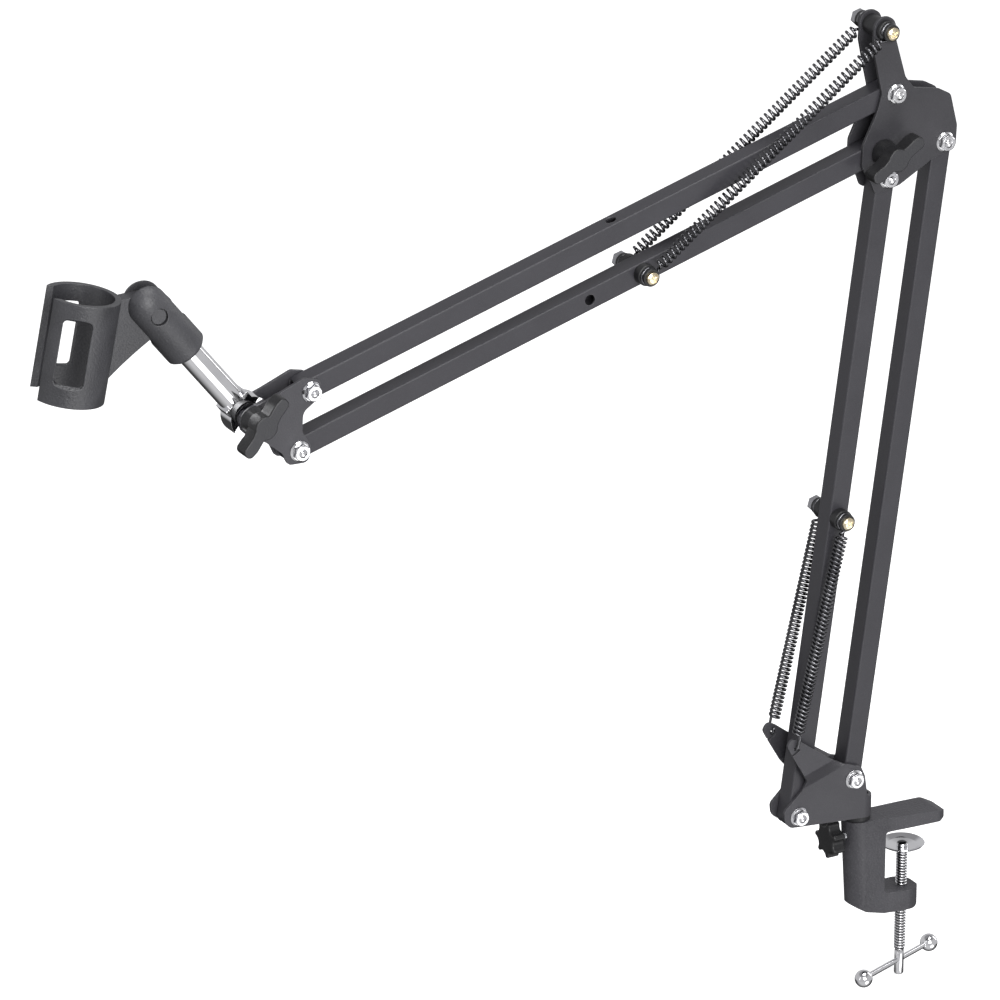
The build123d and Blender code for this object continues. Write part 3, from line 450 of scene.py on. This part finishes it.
def spring(name, node, a, b, turns, hook_at_a, outward):
    """Spring from point a to point b at the node's own y."""
    y = centre_of(node).y
    a, b = np.array((a[0], y, a[2])), np.array((b[0], y, b[2]))
    length = float(np.linalg.norm(b - a))
    d = (b - a) / length
    u = np.array((-d[2], 0.0, d[0]))
    v = np.array((0.0, 1.0, 0.0))
    steps = 18
    n = int(turns * steps)
    phase0 = math.pi / 2 * outward if hook_at_a else 0.0
    coil = []
    for i in range(n + 1):
        s = i / n
        phi = phase0 + 2 * math.pi * turns * s
        coil.append(a + d * (LEAD + (length - 2 * LEAD) * s)
                    + COIL_R * (math.cos(phi) * u + math.sin(phi) * v))

    def eye(post, along, phi, turn):
        """Wire from the coil's end at angle phi to a loop round the post; along points to the coil."""
        pts = []
        for k in range(1, 7):
            f = k / 6
            r = COIL_R * (1 - 0.8 * f)
            p = phi + turn * f * math.pi * 0.9
            pts.append(post + along * (LEAD - 2.2 * MM * f) + r * (math.cos(p) * u + math.sin(p) * v))
        for deg in (50, 75, 100, 130, 160, 190, 220, 250, 280, 305, 325):
            c, s = math.cos(math.radians(deg)), math.sin(math.radians(deg))
            pts.append(post + along * EYE_R * c - u * EYE_R * s)
        return pts

    end_phi = phase0 + 2 * math.pi * turns
    tail = eye(b, -d, end_phi, 1.0)
    if hook_at_a:
        o = outward
        # the coil's end, down the outside of the ear, through its slot and up inside
        head = [a + d * s * MM + v * o * w * MM for s, w in (
            (3.6, -2.0), (2.4, -2.2), (1.0, -1.9), (0.1, -1.0), (-0.2, 0.3), (0.1, 1.6),
            (1.2, 2.5), (3.2, 2.75), (5.6, 2.85), (7.6, 2.95))]
    else:
        head = list(reversed(eye(a, d, phase0, -1.0)))
    dense = smooth_path(head + [coil[0], coil[1]], 6)[:-6] + coil
    dense = dense + smooth_path([coil[-2], coil[-1]] + tail, 6)[7:]
    verts, faces = wire(dense, WIRE_R, 10)
    obj = mesh_object(name, verts, faces, M["spring"])
    return obj, Vector(a), Vector(b)


elbow_post = post_point("elbow_post_nut")
lower_post = post_point("lower_post_nut")
upper_post = post_point("upper_post_nut")
for side, out in (("near", -1), ("far", 1)):
    node = "upper_spring_" + side
    obj, foot, head = spring(node + "_wire", node, upper_post, elbow_post, 53, False, out)
    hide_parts(node)
    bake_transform(obj)
    # the hook point lies on the spring's own line, one lead below the coil
    node = "lower_spring_" + side
    low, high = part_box(node)
    top = np.array(lower_post)
    low_mid = np.array((low.x + COIL_R + WIRE_R, 0.0, low.z))
    line = np.array((top[0] - low_mid[0], 0.0, top[2] - low_mid[2]))
    line /= np.linalg.norm(line)
    hook = low_mid - line * LEAD
    obj, foot, head = spring(node + "_wire", node, hook, top, 49, True, out)
    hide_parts(node)
    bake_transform(obj)

# ---------------------------------------------------------------------------
# Clamp screw: swaged head, rolled thread, plain end
# ---------------------------------------------------------------------------
low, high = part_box("clamp_screw")
TOP, END = high.z / MM, low.z / MM      # mm
DISC_Z = TOP - 0.2
PITCH, R_OUT, R_ROOT = 1.75, 3.38, 2.55
T0, T1 = -81.5, DISC_Z - 4.0
cols, per_turn = 56, 14
rows = int((T1 - T0) / PITCH * per_turn)
verts, faces = [], []


def thread_radius(z, theta):
    f = (z / PITCH + theta / (2 * math.pi)) % 1.0
    ridge = 1 - abs(2 * f - 1)                     # 0 at the root, 1 at the crest
    ridge = min(max((ridge - 0.14) / 0.68, 0.0), 1.0)
    ridge = ridge * ridge * (3 - 2 * ridge) * 0.35 + ridge * 0.65
    ends = min((z - T0) / 1.6, (T1 - z) / 1.6, 1.0)
    return R_ROOT + (R_OUT - R_ROOT) * ridge * max(ends, 0.0)


grid = []
z_list = [T0 + (T1 - T0) * i / rows for i in range(rows + 1)]
profile_low = [(0.0, END), (1.9, END), (2.45, END + 0.3), (2.74, END + 0.8), (2.74, -82.4), (2.6, -81.9)]
profile_high = [(2.25, T1 + 0.1), (2.25, DISC_Z - 2.4), (3.25, DISC_Z - 2.25), (3.3, DISC_Z - 1.9),
                (3.2, DISC_Z - 0.95), (2.75, DISC_Z - 0.35), (2.1, DISC_Z + 0.02), (1.1, DISC_Z + 0.15),
                (0.0, DISC_Z + 0.2)]
for r, z in profile_low[1:]:
    grid.append([(r, z)] * cols)
for z in z_list:
    grid.append([(thread_radius(z, 2 * math.pi * k / cols), z) for k in range(cols)])
for r, z in profile_high[:-1]:
    grid.append([(r, z)] * cols)
for row in grid:
    for k, (r, z) in enumerate(row):
        a = 2 * math.pi * k / cols
        verts.append((r * MM * math.cos(a), r * MM * math.sin(a), z * MM))
for i in range(len(grid) - 1):
    for k in range(cols):
        k1 = (k + 1) % cols
        faces.append((i * cols + k, i * cols + k1, (i + 1) * cols + k1, (i + 1) * cols + k))
verts.append((0, 0, END * MM))
verts.append((0, 0, TOP * MM))
for k in range(cols):
    k1 = (k + 1) % cols
    faces.append((len(verts) - 2, k1, k))
    last = (len(grid) - 1) * cols
    faces.append((len(verts) - 1, last + k, last + k1))
screw = mesh_object("threaded_screw", verts, faces, M["thread"], sharp_angle=50)
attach(screw, "screw")
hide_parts("clamp_screw")


# ---------------------------------------------------------------------------
# Floor and light
# ---------------------------------------------------------------------------
FLOOR_Z = CAD_BOX[0][2] - 0.002
floor_mesh = bpy.data.meshes.new("floor")
S = 14.0
floor_mesh.from_pydata([(-S, -S, FLOOR_Z), (S, -S, FLOOR_Z), (S, S, FLOOR_Z), (-S, S, FLOOR_Z)], [],
                       [(0, 1, 2, 3)])
floor = bpy.data.objects.new("floor", floor_mesh)
SCENE.collection.objects.link(floor)
g = Graph("pale_floor")
tone = g.span(g.noise(3.0, 2.0), 0.3, 0.7)
g.set(color=g.mix(tone, (0.86, 0.86, 0.86), (0.88, 0.88, 0.88)), roughness=0.9, specular=0.1)
g.bsdf.inputs["Emission Color"].default_value = (1.0, 1.0, 1.0, 1.0)
g.bsdf.inputs["Emission Strength"].default_value = 0.62
floor_mesh.materials.append(g.mat)
floor.visible_diffuse = False
floor.visible_glossy = False

world = bpy.data.worlds.new("studio")
SCENE.world = world
world.use_nodes = True
wt = world.node_tree
bg = next(n for n in wt.nodes if n.type == "BACKGROUND")
tc = wt.nodes.new("ShaderNodeTexCoord")
sep = wt.nodes.new("ShaderNodeSeparateXYZ")
wt.links.new(tc.outputs["Generated"], sep.inputs[0])


def w_math(op, a, b):
    n = wt.nodes.new("ShaderNodeMath")
    n.operation = op
    for i, x in enumerate((a, b)):
        if isinstance(x, bpy.types.NodeSocket):
            wt.links.new(x, n.inputs[i])
        else:
            n.inputs[i].default_value = x
    return n.outputs[0]


def w_span(value, low, high, to_low=0.0, to_high=1.0):
    n = wt.nodes.new("ShaderNodeMapRange")
    n.clamp = True
    for key, v in (("Value", value), ("From Min", low), ("From Max", high),
                   ("To Min", to_low), ("To Max", to_high)):
        if isinstance(v, bpy.types.NodeSocket):
            wt.links.new(v, n.inputs[key])
        else:
            n.inputs[key].default_value = v
    return n.outputs["Result"]


# studio seen in the bright parts: angle round the vertical, 0 at the front left, + to the right
ahead = w_math("ADD", w_math("MULTIPLY", sep.outputs["X"], -0.486),
               w_math("MULTIPLY", sep.outputs["Y"], -0.874))
across = w_math("ADD", w_math("MULTIPLY", sep.outputs["X"], 0.874),
                w_math("MULTIPLY", sep.outputs["Y"], -0.486))
around = w_span(w_math("ARCTAN2", across, ahead), -math.pi, math.pi)
ramp = wt.nodes.new("ShaderNodeValToRGB")
while len(ramp.color_ramp.elements) > 1:
    ramp.color_ramp.elements.remove(ramp.color_ramp.elements[-1])
stops = [(-180, 0.02), (-146, 0.02), (-138, 0.26), (-104, 0.28), (-98, 0.06), (-90, 0.06), (-84, 0.30),
         (-40, 0.36), (-34, 0.10), (-22, 0.10), (-16, 0.50), (20, 0.75), (62, 0.80), (66, 0.03),
         (78, 0.03), (82, 0.95), (126, 0.95), (132, 0.02), (180, 0.02)]
ramp.color_ramp.elements[0].position = 0.0
ramp.color_ramp.elements[0].color = (0.03, 0.03, 0.03, 1)
for angle, tone in stops[1:]:
    e = ramp.color_ramp.elements.new((angle + 180) / 360)
    e.color = (tone, tone, tone * 1.02, 1)
walls = ramp.outputs[0]


def w_mix(fac, a, b):
    n = wt.nodes.new("ShaderNodeMix")
    n.data_type = "RGBA"
    for socket, x in ((n.inputs["Factor"], fac), (n.inputs[6], a), (n.inputs[7], b)):
        if isinstance(x, bpy.types.NodeSocket):
            wt.links.new(x, socket)
        else:
            socket.default_value = x
    return n.outputs[2]


sky = w_mix(w_span(sep.outputs["Z"], 0.55, 0.75), walls, (0.30, 0.30, 0.31, 1.0))
ground = w_mix(w_span(ahead, -0.35, 0.45), (0.06, 0.06, 0.06, 1.0), (0.70, 0.70, 0.71, 1.0))
sky = w_mix(w_span(sep.outputs["Z"], -0.30, -0.42), sky, ground)
# round lamp low in front
lamp = w_math("ADD", w_math("ADD", w_math("MULTIPLY", sep.outputs["X"], 0.19),
                            w_math("MULTIPLY", sep.outputs["Y"], -0.83)),
              w_math("MULTIPLY", sep.outputs["Z"], -0.55))
sky = w_mix(w_span(lamp, math.cos(math.radians(18)), math.cos(math.radians(15))), sky,
            (3.0, 3.0, 3.0, 1.0))
wt.links.new(sky, bg.inputs["Color"])
bg.inputs["Strength"].default_value = 0.85


def area(name, location, target, size, power, shape=None):
    data = bpy.data.lights.new(name, "AREA")
    data.shape = "RECTANGLE"
    data.size, data.size_y = size
    data.energy = power
    light = bpy.data.objects.new(name, data)
    light.location = location
    light.rotation_euler = (Vector(target) - Vector(location)).to_track_quat("-Z", "Y").to_euler()
    SCENE.collection.objects.link(light)
    return light


MID = (-0.25, 0.0, 0.2)
area("key", (-0.70, -2.35, 1.10), MID, (1.3, 1.5), 60.0)
area("rim_left", (-2.4, -0.3, 0.5), MID, (0.35, 1.6), 2.0)
area("rim_right", (1.9, 0.2, 0.7), MID, (0.4, 1.6), 5.0)
area("overhead", (-0.1, -0.5, 2.2), MID, (1.4, 0.9), 26.0)
